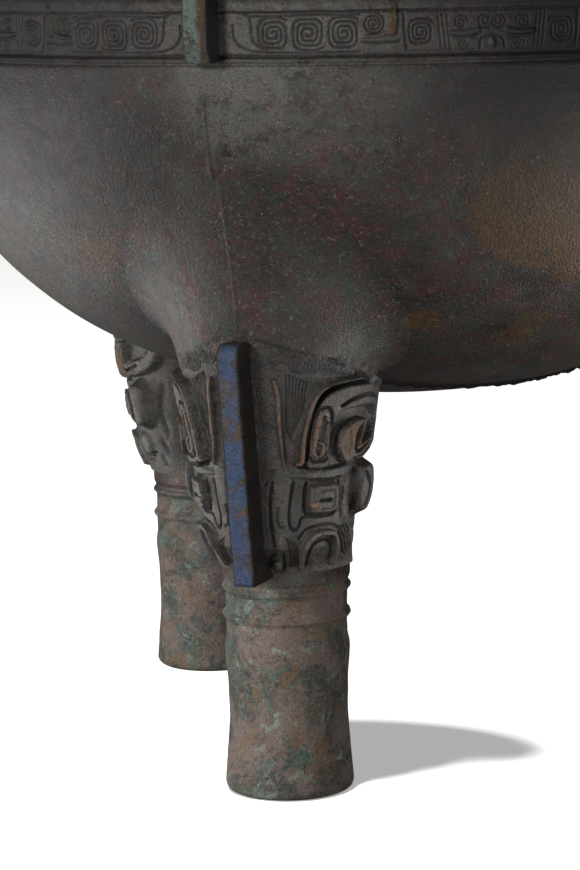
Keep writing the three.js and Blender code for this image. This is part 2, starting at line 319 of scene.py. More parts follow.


# Old bronze under copper carbonates and oxides: dull, mottled and pitted, with bare metal on its ridges, and
# with painted shade laid into its hollows, on shaded sides and over the upper wall.
def makePatina():
    look = patinaLook
    times = {"operation": "MULTIPLY", "use_clamp": True}
    plus = {"operation": "ADD", "use_clamp": True}
    minus = {"operation": "SUBTRACT", "use_clamp": True}
    material = bpy.data.materials.new("patinated bronze")
    material.use_nodes = True
    tree = material.node_tree
    tree.nodes.clear()
    place = addNode(tree, "ShaderNodeTexCoord").outputs["Object"]
    clouds = {}
    for name, (size, detail, rough, twist, moved) in look["clouds"].items():
        spot = addNode(tree, "ShaderNodeVectorMath", {1: (moved, moved, moved)}, {0: place}).outputs[0]
        settings = {"Scale": 1 / (size * mm), "Detail": detail, "Roughness": rough, "Distortion": twist}
        clouds[name] = addNode(tree, "ShaderNodeTexNoise", settings, {"Vector": spot}).outputs["Fac"]
    for name, size in look["cells"].items():
        settings = {"Scale": 1 / (size * mm), "Randomness": 1.0}
        clouds[name] = addNode(tree, "ShaderNodeTexVoronoi", settings, {"Vector": place}).outputs["Distance"]
    marks = {}
    for name, (source, *stops) in look["marks"].items():
        ramp = addNode(tree, "ShaderNodeValToRGB", {"stops": stops}, {"Fac": clouds[source]})
        marks[name] = ramp.outputs["Color"]
    layers = {}
    for name in ("crust", "wear", "recess", *look["patches"]):
        layers[name] = addNode(tree, "ShaderNodeAttribute", {"attribute_name": name}).outputs["Fac"]
    # a zone lets its mark show only in places
    zones = {name: marks[name + "Zone"] for name in ("maroon", "speck", "dust", "pit")}
    zones["copper"] = layers["wear"]
    for name, zone in zones.items():
        marks[name] = addNode(tree, "ShaderNodeMath", times, {0: marks[name], 1: zone}).outputs[0]
    pits = marks["pit"]
    marks["pit"] = addNode(tree, "ShaderNodeMath", {**times, 1: 0.7}, {0: pits}).outputs[0]
    # a patch is broken up by a cloud, so that its edge is ragged
    torn = addNode(tree, "ShaderNodeMath", {**times, 1: 1.7}, {0: marks["torn"]}).outputs[0]
    for name, (low, high, strength) in look["patches"].items():
        broken = addNode(tree, "ShaderNodeMath", times, {0: torn, 1: layers[name]}).outputs[0]
        stops = [(low, 0.0), (high, strength)]
        marks[name] = addNode(tree, "ShaderNodeValToRGB", {"stops": stops}, {"Fac": broken}).outputs["Color"]
    colour = marks["ground"]
    for name, tint in look["under"].items():
        settings = {"data_type": "RGBA", 7: linear(tint)}
        colour = addNode(tree, "ShaderNodeMix", settings, {0: marks[name], 6: colour}).outputs[2]
    # thick many-coloured crusts, where the casting has them
    settings = {"data_type": "RGBA", 7: linear(look["crustGround"])}
    crusty = addNode(tree, "ShaderNodeMix", settings, {0: marks["crustGround"], 6: colour}).outputs[2]
    for tint, size, low, high, moved in look["crusts"]:
        spot = addNode(tree, "ShaderNodeVectorMath", {1: (moved, moved, moved)}, {0: place}).outputs[0]
        settings = {"Scale": 1 / (size * mm), "Detail": 8.0, "Roughness": 0.75, "Distortion": 0.8}
        cloud = addNode(tree, "ShaderNodeTexNoise", settings, {"Vector": spot}).outputs["Fac"]
        stops = [(low, 0.0), (high, 0.85)]
        amount = addNode(tree, "ShaderNodeValToRGB", {"stops": stops}, {"Fac": cloud}).outputs["Color"]
        settings = {"data_type": "RGBA", 7: linear(tint)}
        crusty = addNode(tree, "ShaderNodeMix", settings, {0: amount, 6: crusty}).outputs[2]
    rag = addNode(tree, "ShaderNodeMath", {**minus, 1: 0.5}, {0: clouds["ragged"]}).outputs[0]
    rag = addNode(tree, "ShaderNodeMath", {**times, 1: 0.8}, {0: rag}).outputs[0]
    edge = addNode(tree, "ShaderNodeMath", plus, {0: layers["crust"], 1: rag}).outputs[0]
    stops = [(0.25, 0.0), (0.6, 1.0)]
    crust = addNode(tree, "ShaderNodeValToRGB", {"stops": stops}, {"Fac": edge}).outputs["Color"]
    settings = {"data_type": "RGBA"}
    colour = addNode(tree, "ShaderNodeMix", settings, {0: crust, 6: colour, 7: crusty}).outputs[2]
    for name, tint in look["over"].items():
        settings = {"data_type": "RGBA", 7: linear(tint)}
        colour = addNode(tree, "ShaderNodeMix", settings, {0: marks[name], 6: colour}).outputs[2]
    settings = {"data_type": "RGBA", "blend_type": "MULTIPLY", 0: 1.0}
    colour = addNode(tree, "ShaderNodeMix", settings, {6: colour, 7: marks["shade"]}).outputs[2]
    # painted shade: the colour goes dark where the shade layer is set
    shade_paint = addNode(tree, "ShaderNodeMath", {**times, 1: 0.9}, {0: layers["recess"]}).outputs[0]
    settings = {"data_type": "RGBA", 7: linear(look["shade_paint"])}
    colour = addNode(tree, "ShaderNodeMix", settings, {0: shade_paint, 6: colour}).outputs[2]
    # the surface: a sandy grain, soft pits over it, and ragged crusts that stand proud
    settings = {"Strength": 1.0, "Distance": look["grainBump"] * mm}
    normal = addNode(tree, "ShaderNodeBump", settings, {"Height": clouds["grain"]}).outputs["Normal"]
    hollows = addNode(tree, "ShaderNodeMath", {**times, 1: 0.6}, {0: pits}).outputs[0]
    height = addNode(tree, "ShaderNodeMath", minus, {0: clouds["fine"], 1: hollows}).outputs[0]
    settings = {"Strength": 0.45, "Distance": look["middleBump"] * mm}
    normal = addNode(tree, "ShaderNodeBump", settings, {"Height": height, "Normal": normal}).outputs["Normal"]
    strength = addNode(tree, "ShaderNodeMath", {**times, 1: 0.75}, {0: crust}).outputs[0]
    strength = addNode(tree, "ShaderNodeMath", {**plus, 1: 0.05}, {0: strength}).outputs[0]
    links = {"Height": clouds["ragged"], "Normal": normal, "Strength": strength}
    normal = addNode(tree, "ShaderNodeBump", {"Distance": look["crustBump"] * mm}, links).outputs["Normal"]
    rough = addNode(tree, "ShaderNodeMath", {**times, 1: 0.3}, {0: clouds["middle"]}).outputs[0]
    rough = addNode(tree, "ShaderNodeMath", {**plus, 1: look["roughness"]}, {0: rough}).outputs[0]
    rougher = addNode(tree, "ShaderNodeMath", {**times, 1: 0.18}, {0: crust}).outputs[0]
    rough = addNode(tree, "ShaderNodeMath", plus, {0: rough, 1: rougher}).outputs[0]
    links = {"Base Color": colour, "Normal": normal, "Roughness": rough}
    shader = addNode(tree, "ShaderNodeBsdfPrincipled", {"Metallic": look["metallic"]}, links)
    addNode(tree, "ShaderNodeOutputMaterial", {}, {"Surface": shader.outputs[0]})
    return material


patina = makePatina()
print("patina ready")

# Places of colour on the casting: where each lies, how far it reaches and how strong it is.
ochrePatches = [
    ((124, -167, 262), 30, 1.0),
    ((150, -145, 262), 44, 1.0),
    ((125, -165, 238), 20, 0.8),
    ((112, -185, 286), 20, 0.55),
    ((128, -178, 306), 26, 0.5),
    ((66, -152, 209), 9, 0.75),
    ((94, -119, 199), 11, 0.7),
    ((106, -122, 205), 12, 0.6),
    ((-68, -182, 239), 15, 0.6),
    ((-95, -172, 252), 20, 0.45),
]
crustPatches = [
    ((-30, -168, 211), 9, 0.8),
    ((-34, -160, 204), 8, 0.9),
    ((-28, -174, 219), 7, 0.7),
    ((9, -190, 206), 5, 0.42),
    ((18, -187, 204), 5, 0.4),
]
# Pale patina patches; the first, high on the wall right of the front leg, is also a painted sheen where the
# light catches the upper wall.
bloomAndSheenPatches = [
    ((14, -222, 312), 30, 1.0),
    ((52, -214, 308), 34, 0.6),
    ((-60, -212, 318), 40, 0.4),
]


bowl = {
    "radius": 223.0,
    "bandBottom": 322.6,
    "bottom": 158.2,
    "wall": 5.5,
    "fullness": 2.0,
    "flatness": 2.2,
    "lipUnderside": 347.8,
    "rimTop": 355.8,
    "lipRadius": 237.0,
    "lipRounding": 1.8,
    "columns": 168,
    "rows": 84,
}


# Height of the bowl's outside at a distance from its axis.
def bowlHeight(radius):
    share = np.minimum(radius / bowl["radius"], 1)
    drop = (1 - share ** bowl["flatness"]) ** (1 / bowl["fullness"])
    return bowl["bandBottom"] - (bowl["bandBottom"] - bowl["bottom"]) * drop


# One on the outside of the wall and below it, none inside the bowl.
def outsideShare(x, y, z):
    away = np.hypot(x, y)
    outside = (z < bowlHeight(away) + 2.5) | ((away > bowl["radius"] - 2) & (z < bowl["lipUnderside"] - 1))
    return outside.astype(float)


def patchValues(x, y, z, patches):
    total = np.zeros_like(x)
    for (px, py, pz), reach, strength in patches:
        gap = np.sqrt((x - px) ** 2 + (y - py) ** 2 + (z - pz) ** 2) / reach
        total = np.maximum(total, strength * softStep(1.6 - gap))
    return total * outsideShare(x, y, z)


# Painted shade: outside, the upper wall is darker on both sides of the front leg, most of all on the right,
# where the light falls off.
# Azimuths are in degrees from that leg and heights in millimetres.
def paintedShadeValues(x, y, z):
    azimuth = np.degrees(np.arctan2(x, -y)) + 5 * castWaves(x, y, z, 60, 82)
    left = 0.72 * softStep((8 - azimuth) / 30) * softStep((azimuth + 62) / 22) * softStep((z - 232) / 50)
    right = softStep((azimuth - 10) / 24) * softStep((80 - azimuth) / 25) * softStep((z - 200) / 30)
    right = right * (0.05 + 0.92 * softStep((z - 225) / 80))
    return np.maximum(left, right) * outsideShare(x, y, z) * (np.hypot(x, y) > 90)


# A piece's own layers of colour, with the patches that lie across several pieces.
def colourLayers(piece, x, y, z, **own):
    shared = {
        "bloom": patchValues(x, y, z, bloomAndSheenPatches),
        "malachite": patchValues(x, y, z, crustPatches),
        "ochre": patchValues(x, y, z, ochrePatches),
        "recess": paintedShadeValues(x, y, z),
    }
    for name in ("crust", "bloom", "wear", "recess", "azurite", "malachite", "ochre"):
        values = np.zeros_like(x) + own.get(name, 0.0)
        setValues(piece, name, np.maximum(values, shared.get(name, 0.0)))


# Bowl: a closed shell, drawn as one profile from the outside bottom over the lip to the inside bottom.

def bowlCurve(inset, count):
    angle = np.linspace(1, 0, count) * math.pi / 2
    r = (bowl["radius"] - inset) * np.cos(angle) ** (2 / bowl["flatness"])
    depth = bowl["bandBottom"] - bowl["bottom"] - inset
    z = bowl["bandBottom"] - depth * np.sin(angle) ** (2 / bowl["fullness"])
    r[0] = 0
    return np.stack([r, z], 1)


def bowlProfile():
    b = bowl
    sunk = 1.5  # the band's ring lies over this part of the wall
    outside = bowlCurve(0, b["rows"])
    outside = outside[outside[:, 1] < b["bandBottom"] - 3.6]
    lip = []
    for k in range(5):
        angle = k / 4 * math.pi / 2
        lip.append((b["lipRadius"] - b["lipRounding"] * (1 - math.sin(angle)),
                    b["lipUnderside"] + b["lipRounding"] * (1 - math.cos(angle))))
    for k in range(5):
        angle = k / 4 * math.pi / 2
        lip.append((b["lipRadius"] - b["lipRounding"] * (1 - math.cos(angle)),
                    b["rimTop"] - b["lipRounding"] * (1 - math.sin(angle))))
    inner = b["radius"] - b["wall"]
    middle = [
        (b["radius"] - 0.1, b["bandBottom"] - 3.4),
        (b["radius"] - sunk, b["bandBottom"] - 2.6),
        (b["radius"] - sunk, b["lipUnderside"] - 0.8),
        (b["radius"] - 0.6, b["lipUnderside"]),
        (b["radius"] + 2, b["lipUnderside"]),
        (b["radius"] + 7, b["lipUnderside"]),
    ]
    rim = [
        (b["lipRadius"] - 7, b["rimTop"]),
        (inner + 5, b["rimTop"]),
        (inner + 1.4, b["rimTop"]),
        (inner + 0.4, b["rimTop"] - 0.5),
        (inner, b["rimTop"] - 1.6),
        (inner, b["rimTop"] - 12),
        (inner, b["bandBottom"] + 5),
    ]
    inside = bowlCurve(b["wall"], 44)[::-1]
    return np.vstack([outside, middle, lip, rim, inside])


# Azimuths round the bowl, closer together along the three mould seams.
def bowlAzimuths():
    even = np.linspace(0, 360, bowl["columns"] + 1)
    close = [turn + np.linspace(-2.1, 1.8, 27) for turn in (0.0, 120.0, 240.0)]
    both = np.unique(np.round(np.concatenate([even] + close) % 360, 4))
    return np.append(both, 360.0)


wallMarks = {
    # the seam wanders a little to the left of the leg's middle high on the wall: height, degrees
    "seamPath": [(200, 0), (235, 0.2), (250, -0.7), (300, -0.8), (320, 0.0)],
    "seamHeight": 0.22,
    "seamWidth": 0.7,
    # place across and up, half width, half height, and how far it stands out
    "lumps": [(-2, 276, 3.2, 3.2, 1.6), (-6, 247, 5.625, 4.5, 1.8)],
    "nick": (5, 283, 5.0, 6.5, 1.3),
    "scarPlace": (113, -142, 223),
    "scarAlong": (0.78, 0.62),
    "scarHalf": 9.0,
    "scarTop": 4.5,
    "scarDepth": 1.2,
}


# A round mark on the front of the wall.
def wallSpot(x, y, z, mark):
    across, height, halfWidth, halfHeight, rise = mark
    away = np.hypot((x - across) / halfWidth, (z - height) / halfHeight)
    return rise * softStep(1 - away) * (y < 0)


# A three-cornered scar low on the right.
def wallScar(x, y, z):
    m = wallMarks
    px, py, pz = m["scarPlace"]
    across = np.abs((x - px) * m["scarAlong"][0] + (y - py) * m["scarAlong"][1])
    up = z - pz
    upper = np.minimum(m["scarTop"] - up, m["scarHalf"] - across)
    inside = np.minimum(upper, up + m["scarHalf"] - 1.1 * across)
    return m["scarDepth"] * softStep(inside / 2.2) * (x > 60) * (y < -60)


def makeBowl():
    m = wallMarks
    profile = bowlProfile()
    azimuths = bowlAzimuths()
    piece, u, v = newGrid("bowl", len(azimuths) - 1, len(profile) - 1)
    azimuth = np.interp(u * (len(azimuths) - 1), np.arange(len(azimuths)), azimuths)
    azimuth = np.where(u > 0.99999, 0.0, azimuth)
    rows = v * (len(profile) - 1)
    r = np.interp(rows, np.arange(len(profile)), profile[:, 0])
    z = np.interp(rows, np.arange(len(profile)), profile[:, 1])
    outer = rows < len(bowlCurve(0, bowl["rows"])) - 5
    turn = np.radians(azimuth)
    x, y = r * np.sin(turn), -r * np.cos(turn)
    wave = castWaves(x, y, z, 70, 3) * 0.55
    # mould seams run up the wall in line with the legs
    seamPath = np.interp(z, *np.transpose(m["seamPath"]))
    off = np.abs((azimuth - seamPath + 60) % 120 - 60) * math.pi / 180 * np.maximum(r, 1)
    rag = 1 + 0.5 * castWaves(x, y, z, 9, 8)
    seam = m["seamHeight"] * rag * softStep(1 - off / (m["seamWidth"] * rag)) * softStep((z - 190) / 20)
    lumps = sum(wallSpot(x, y, z, mark) for mark in m["lumps"])
    hurt = wallSpot(x, y, z, m["nick"]) + wallScar(x, y, z)
    grow = np.where(outer, wave + seam + lumps - hurt, (wave - 0.45) * 0.5)
    fade = softStep(r / 30)
    slope = np.clip((z - bowl["bottom"]) / 60, 0, 1)
    x = x + np.sin(turn) * grow * fade * slope
    y = y - np.cos(turn) * grow * fade * slope
    z = z - grow * (1 - slope) * outer
    setSpots(piece, x, y, z)
    # painted shade beside the seam ridge and in the hollows of the nick and scar
    seamShade = 0.5 * softStep(1 - np.abs(off - 0.9) / 1.3) * softStep((z - 200) / 20) * outer
    colourLayers(piece, x, y, z, recess=np.maximum(seamShade, 0.5 * softStep(hurt)))
    closeUp(piece)
    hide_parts(castingNode)
    finish(piece)


makeBowl()

# Ragged fins along the seam of the mould's bottom piece, from leg to leg

fin = {"bow": 9.0, "chord": 73.0, "half": 92.0, "height": 2.6, "width": 3.4, "columns": 150}


def makeFin(index):
    count = fin["columns"]
    piece, u, v = newGrid("mould_fin_%d" % (index + 1), count, 6)
    column = np.round(u * count).astype(int)
    corner = np.round(v * 6).astype(int) % 6
    along = (u - 0.5) * 2 * fin["half"]
    out = fin["chord"] + fin["bow"] * (1 - (along / fin["half"]) ** 2)
    rng = np.random.default_rng(90 + index)
    ragged = np.convolve(rng.uniform(0.35, 1.0, count + 1), [0.25, 0.5, 0.25], "same")[column]
    ends = softStep((1 - np.abs(u - 0.5) * 2) / 0.12)
    side = np.array([-1, -0.8, -0.2, 0.2, 0.8, 1])[corner] * fin["width"] / 2
    drop = np.array([-2.0, 0.2, 1.0, 1.0, 0.2, -2.0])[corner]
    drop = np.where(drop > 0.5, drop * fin["height"] * ragged * ends, drop)
    out = out + side * (0.6 + 0.4 * ragged)
    turn = math.radians(60 + 120 * index) - math.pi / 2
    x = out * math.cos(turn) - along * math.sin(turn)
    y = out * math.sin(turn) + along * math.cos(turn)
    z = bowlHeight(np.hypot(x, y)) - drop
    setSpots(piece, x, y, z)
    # the fins are painted half in shade, as they hang under the bowl
    colourLayers(piece, x, y, z, recess=0.5)
    closeUp(piece)
    capEnds(piece)
    finish(piece)


for index in range(3):
    makeFin(index)

# Legs

leg = {
    "circle": 146.0,
    "footRadius": 28.0,
    "footRounding": 3.5,
    "waistRadius": 25.9,
    "waistHeight": 34.0,
    "shoulderRadius": 27.3,
    "shoulderHeight": 64.0,
    "columnRadius": 26.5,
    "ringHeights": [78.6, 90.7],
    "ringRelief": 1.7,
    "ringWidth": 5.5,
    "neck": 1.4,
    "neckHeight": 92.0,
    "turns": [0.0, 120.0, 240.0],
    "columns": 96,
}
mask = {
    "bottom": 101.0,
    "step": 2.6,
    "flare": 0.14,
    "swell": 6.5,
    "swellRise": 12.0,
    "frontFairing": 34.0,
    "backFairing": 9.0,
    "degreeWidth": 0.64,
    "fineDegrees": 86.0,
    "sideDegrees": 112.0,
    "fineColumns": 300,
    "sideColumns": 16,
    "backColumns": 26,
    "ornamentShare": 0.85,
    "rows": 214,
    "upperRows": 20,
    "fairingRows": 20,
    "rearThinning": 0.7,
}


def maskGround(z):
    return leg["columnRadius"] + mask["step"] + mask["flare"] * (z - mask["bottom"])


def maskRadius(azimuth, z):
    swell = mask["swell"] * np.clip((z - mask["bottom"]) / mask["swellRise"], 0, 1)
    return maskGround(z) + swell * np.cos(azimuth)


def bowlOverLeg(azimuth, radius):
    across = radius * np.sin(azimuth)
    out = leg["circle"] + radius * np.cos(azimuth)
    return bowlHeight(np.hypot(across, out))


def fairingSize(azimuth):
    spread = mask["frontFairing"] - mask["backFairing"]
    return mask["backFairing"] + spread * (1 + np.cos(azimuth)) / 2


# The fairing from leg to bowl, as a curve at each azimuth: where it leaves the leg, where it meets
# the bowl after the same length, and the two points between that keep it smooth with both.
def fairingCurves(azimuths):
    corner = np.full_like(azimuths, 203.0)  # a first guess, which the steps draw to the crossing
    for _ in range(40):
        corner = 0.5 * (corner + bowlOverLeg(azimuths, maskRadius(azimuths, corner)))
    cornerRadius = maskRadius(azimuths, corner)
    size = fairingSize(azimuths)
    ends = []
    for azimuth, radius, length in zip(azimuths, cornerRadius, size):
        radii = radius + np.linspace(0, 1, 200) * length
        heights = bowlOverLeg(azimuth, radii)
        run = np.concatenate([[0], np.cumsum(np.hypot(np.diff(radii), np.diff(heights)))])
        met = [np.interp(length - back, run, line) for back in (0, 2) for line in (radii, heights)]
        ends.append(met)
    ends = np.array(ends)
    start = corner - size
    pull = 0.62 * size
    slope = (ends[:, 0:2] - ends[:, 2:4]) / 2
    return {"startZ": start, "startR": maskRadius(azimuths, start),
            "lowR": maskRadius(azimuths, start + pull), "lowZ": start + pull,
            "highR": ends[:, 0] - pull * slope[:, 0], "highZ": ends[:, 1] - pull * slope[:, 1],
            "endR": ends[:, 0], "endZ": ends[:, 1] + 0.5}


def placeOnLeg(radius, azimuth, z, turn):
    x = radius * np.sin(azimuth)
    y = -leg["circle"] - radius * np.cos(azimuth)
    c, s = math.cos(math.radians(turn)), math.sin(math.radians(turn))
    return x * c - y * s, x * s + y * c, z


# Half a mask, as [degrees round the leg from the flange, height].
def carveMask(relief):
    # ground of fine threads: spirals under the bowl, and lines that draw together on the forehead
    curls = [(17, 195.6, 2.7), (23, 195.8, 3.0), (30.2, 193.4, 4.2), (38, 192, 3.0), (44.4, 191, 2.6),
             (51, 188.8, 2.7), (58, 187.4, 2.2)]
    for k, (azimuth, z, size) in enumerate(curls):
        cutSpiral(relief, (azimuth, z), size, 1.2, size / 1.25, 1 if k % 2 else -1, 2.5, 0.55, 0.75)
    for k in range(3):
        cutLine(relief, [(14 + 1.6 * k, 200.6 - 0.4 * k), (22 + k, 199.8 - 0.6 * k),
                (30 + k, 198.4 - 0.7 * k)], 0.5, 0.5)
        cutLine(relief, [(35 + k, 196.4 - 0.8 * k), (43 + k, 195 - k), (50 + k, 192.8 - k)], 0.5, 0.5)
    for k in range(7):
        top = 22.6 + 1.95 * k
        low = (23.4 + 0.75 * k, 161 + 1.2 * abs(k - 3))
        cutLine(relief, [(top, 189 - 0.7 * k), (23.4 + 1.45 * k, 178 - 0.8 * k), low], 0.6, 0.85)
    for k, z in enumerate((181, 173.6, 166, 158.4)):
        cutSpiral(relief, (11 + 0.5 * (k % 2), z), 3.0, 1.25, 2.2, 1 if k % 2 else -1, 2.5, 0.5, 0.3)
    for k in range(4):
        cutLine(relief, [(46 + 3 * k, 187.6 - 0.5 * k), (60 + 3 * k, 187 - 0.7 * k), (76, 185.6 - k)],
                0.5, 0.5)
    # horn: up beside the forehead, over, round behind and coiled in
    horn = [(40, 151.2), (40.3, 160), (42.5, 168.5), (48.5, 175.6), (60, 177.9), (79, 177.3), (93, 173.8),
            (100.5, 166.5), (96, 159.4), (85, 155.6), (75, 153.4), (66, 152.8)]
    raiseLine(relief, horn, [9.4, 9.4, 9.8, 10.4, 10.6, 9.8, 8.8, 7.6, 7, 6.4, 5.6], 4.0, 1.3, wear=0.1)
    sinkLine(relief, [(40.6, 154.8), (40.8, 163), (42.4, 169.6)], 5.2, 1.9)
    raiseLine(relief, [(28.8, 150.8), (30.8, 151.4), (31.4, 156), (32.4, 163), (34.2, 170.5), (37, 177),
              (41, 181.6), (46, 183.9)], [2.2, 2.0, 1.8, 1.7, 1.6, 1.4], 4.9, 0.8, wear=1.0)
    raiseLine(relief, [(45, 183.6), (60, 185), (78, 184.2), (95, 181.4), (106, 178)], 1.4, 4.2, 0.9)
    cutLine(relief, [(33.6, 152.6), (34.2, 160), (36, 168.5), (39.2, 175.6), (44, 180.2), (52, 182.6),
            (62, 183.2), (78, 182.4), (95, 179.2), (106, 174.6)], 1.2, 2.6)
    cutLine(relief, [(54, 174.4), (60, 176.2), (68, 177.2), (77, 176.9), (87, 174.6), (94, 169.6),
            (95.6, 164)], 1.0, 1.8)
    # small hooked scroll inside the limb of the horn
    cutLine(relief, [(35.4, 153.2), (37.2, 151.5), (44.4, 151.7), (46.8, 155), (47.4, 164), (47.6, 170.6),
            (45.4, 174.2), (41.2, 174.1), (38.6, 171.4)], 0.9, 1.5)
    raiseLine(relief, [(45.4, 168.8), (44.6, 171.4), (41.4, 171.5), (39.8, 167), (38.2, 160),
              (37.4, 155.6), (39.4, 153.3), (42.8, 154.4), (43, 158), (40.8, 159.4)], [1.9, 2.0, 1.8, 1.6],
              4.1, 0.7, wear=0.8)
    # the coil's pale tongue, and the two thin edges that run back under it
    raiseLine(relief, [(60.5, 152.4), (58.6, 157), (60, 161.8), (64.4, 164.8), (70, 166.4)],
              [6.4, 8.2, 7.6, 5.4, 2.2], 4.8, 1.3, 12)
    raiseLine(relief, [(72, 167), (70.6, 162), (68.6, 158.4), (69.6, 156), (75, 156.8), (82, 158.6)],
              [1.4, 1.4, 1.3], 5.3, 0.8, wear=0.7)
    raiseLine(relief, [(63.8, 161.4), (63.6, 155.6), (65.6, 151.4), (70.6, 150.4), (76, 151.6),
              (82, 153.4)], [0.9, 1.4, 1.4], 5.0, 0.8, wear=0.55)
    cutLine(relief, [(66.4, 160), (66.2, 155.4), (69.4, 153), (77, 154.6), (84, 156.6)], 1.0, 2.0)
    cutLine(relief, [(58.6, 165.6), (60.6, 160), (59.8, 154)], 0.8, 0.5)
    # forehead ridge
    raiseLine(relief, [(16.8, 186.8), (18.4, 181), (19, 172), (19.5, 163)], [1.3, 1.8, 1.8, 1.7],
              2.6, 0.8, wear=1.0)
    raiseLine(relief, [(19.5, 164), (20.6, 155), (21.4, 149.6)], [1.7, 1.4], 2.1, 0.9, wear=0.35)
    # brow, eye in its frame, and the hooked corner beside it
    raiseLine(relief, [(19, 150), (19.8, 140), (20, 128), (19, 114)], [5, 6, 6, 5], 0.6, 2.4)
    raiseLine(relief, [(24, 145.4), (40, 144.9), (54, 144.7), (70, 145.4)], [1, 3.4, 4.4, 4], 0.9, 2.0)
    cutLine(relief, [(30, 148.8), (40, 148), (52, 147.6), (64, 148.2)], 0.9, 1.6)
    cutLine(relief, [(37, 142.9), (47, 142.3), (58.5, 142.5)], 0.9, 1.3)
    cutLine(relief, [(34.6, 141.6), (33.6, 135), (34.2, 128.4), (38, 126.8), (47, 126.4), (56, 127.2),
            (58.6, 131), (58.4, 141)], 1.0, 1.5)
    raiseBoss(relief, (46.2, 134.4), (13.8, 12.6), 3.4, 5.5, 0.26, 0.16)
    raiseLine(relief, [(37.8, 132.2), (41, 132.3)], 3.0, 3.8, 0.8, wear=1.0)
    raiseLine(relief, [(36.8, 140), (36.4, 135.5)], 1.1, 3.8, 0.7, wear=0.5)
    cutLine(relief, [(43, 133.8), (50.4, 133.8)], 1.0, 1.7)
    cutLine(relief, [(43, 137.8), (51.2, 138), (53, 133.8), (51.4, 129.8), (43.6, 129.8)], 0.7, 0.6)
    cutLine(relief, [(26.4, 142), (24.6, 134), (23.6, 127), (24.4, 122.3), (27.6, 121), (30.2, 122.6),
            (31.6, 125.6), (34.6, 127)], 1.0, 1.4)
    # cheek and leaf-shaped ear
    raiseBoss(relief, (66.5, 133), (6.5, 20), 1.6, 2.4, 0.4, 0.2)
    raiseBoss(relief, (81, 136.4), (14.6, 23.4), 8.2, 2.3, 0.42, 0.34)
    cutLine(relief, [(71.6, 145), (70.4, 136), (71.6, 127)], 1.2, 1.4)
    cutLine(relief, [(76, 143), (79.5, 137), (78.5, 129.5)], 1.8, 1.9)
    # nose, with its lines and nostril
    cutLine(relief, [(14, 142.5), (12.2, 135), (11.6, 128), (12.4, 121), (14, 114)], 0.9, 1.2)
    cutLine(relief, [(17, 131.4), (16.2, 126.6), (17.2, 123), (20.4, 122.2)], 0.8, 0.9)
    cutLine(relief, [(9, 141), (12.8, 144.6), (16.6, 148)], 0.8, 0.6)
    raiseBoss(relief, (14.4, 105.2), (4.8, 4.8), 3.2, 2.0, 0.4, 0.4)
    cutLine(relief, [(19.4, 110), (20, 104.6), (17.4, 101.9), (12.4, 101.8), (9.4, 104.4), (10, 108.8),
            (14, 110)], 0.9, 1.2)
    # jaw round its dark hollow, and the curls behind
    raiseLine(relief, [(32.4, 104), (33.4, 110), (36.4, 115.6), (42, 118.6), (51, 118.9), (57, 117),
              (59.6, 111), (60.8, 104.6)], [2.2, 2.6, 2.6, 2.4], 2.8, 1.0, wear=0.25)
    raiseLine(relief, [(33.8, 111.4), (35.4, 114.2), (38, 116.8)], 1.7, 3.2, 0.8, wear=1.0)
    cutLine(relief, [(37, 104.6), (38, 110.6), (42, 115), (50, 115.6), (55, 113), (57, 106)], 0.9, 1.0)
    cutLine(relief, [(30.6, 117), (35, 121), (44, 122.4), (54, 122.2), (61, 120.2)], 0.9, 1.2)
    raiseBoss(relief, (73, 113), (13, 15), 2.2, 2.2, 0.5, 0.3)
    for k in range(4):
        out = 2.7 * k
        cutLine(relief, [(61.8 + out, 120 + 0.3 * k), (64 + out, 113 + 0.5 * k), (69 + out, 108 + 0.8 * k),
                         (78 + out, 106.6 + 1.7 * k)], 0.8, 1.3)
    for k in range(4):
        cutLine(relief, [(22 + 2.2 * k, 117 - k), (24.6 + 1.9 * k, 110.5 - k), (24 + 2 * k, 104)], 0.7, 0.9)
    # strips behind the ear, ending the mask on the plain back of the leg
    for k in range(3):
        cutLine(relief, [(96 + 3 * k, 150), (98 + 3 * k, 136), (96 + 3 * k, 120), (92 + 3 * k, 106)],
                0.8, 1.0)
    # outline against the bowl, and the lower edge
    cutLine(relief, [(46, 194.3), (60, 190.8), (80, 186), (100, 181), (112, 178.5)], 1.1, 1.5)
    cutLine(relief, [(9, 203.4), (20, 200.6), (34, 197.2), (46, 194.3)], 0.8, 0.55)


# Azimuths round a mask, closest over the animal's face.
def maskAzimuths(share):
    m = mask
    face = np.linspace(-m["fineDegrees"], m["fineDegrees"], int(m["fineColumns"] * share) + 1)
    side = np.linspace(m["fineDegrees"], m["sideDegrees"], int(m["sideColumns"] * share) + 1)[1:]
    back = np.linspace(m["sideDegrees"], 360 - m["sideDegrees"], m["backColumns"] + 1)[1:]
    return np.radians(np.concatenate([-side[::-1], face, side, back]))


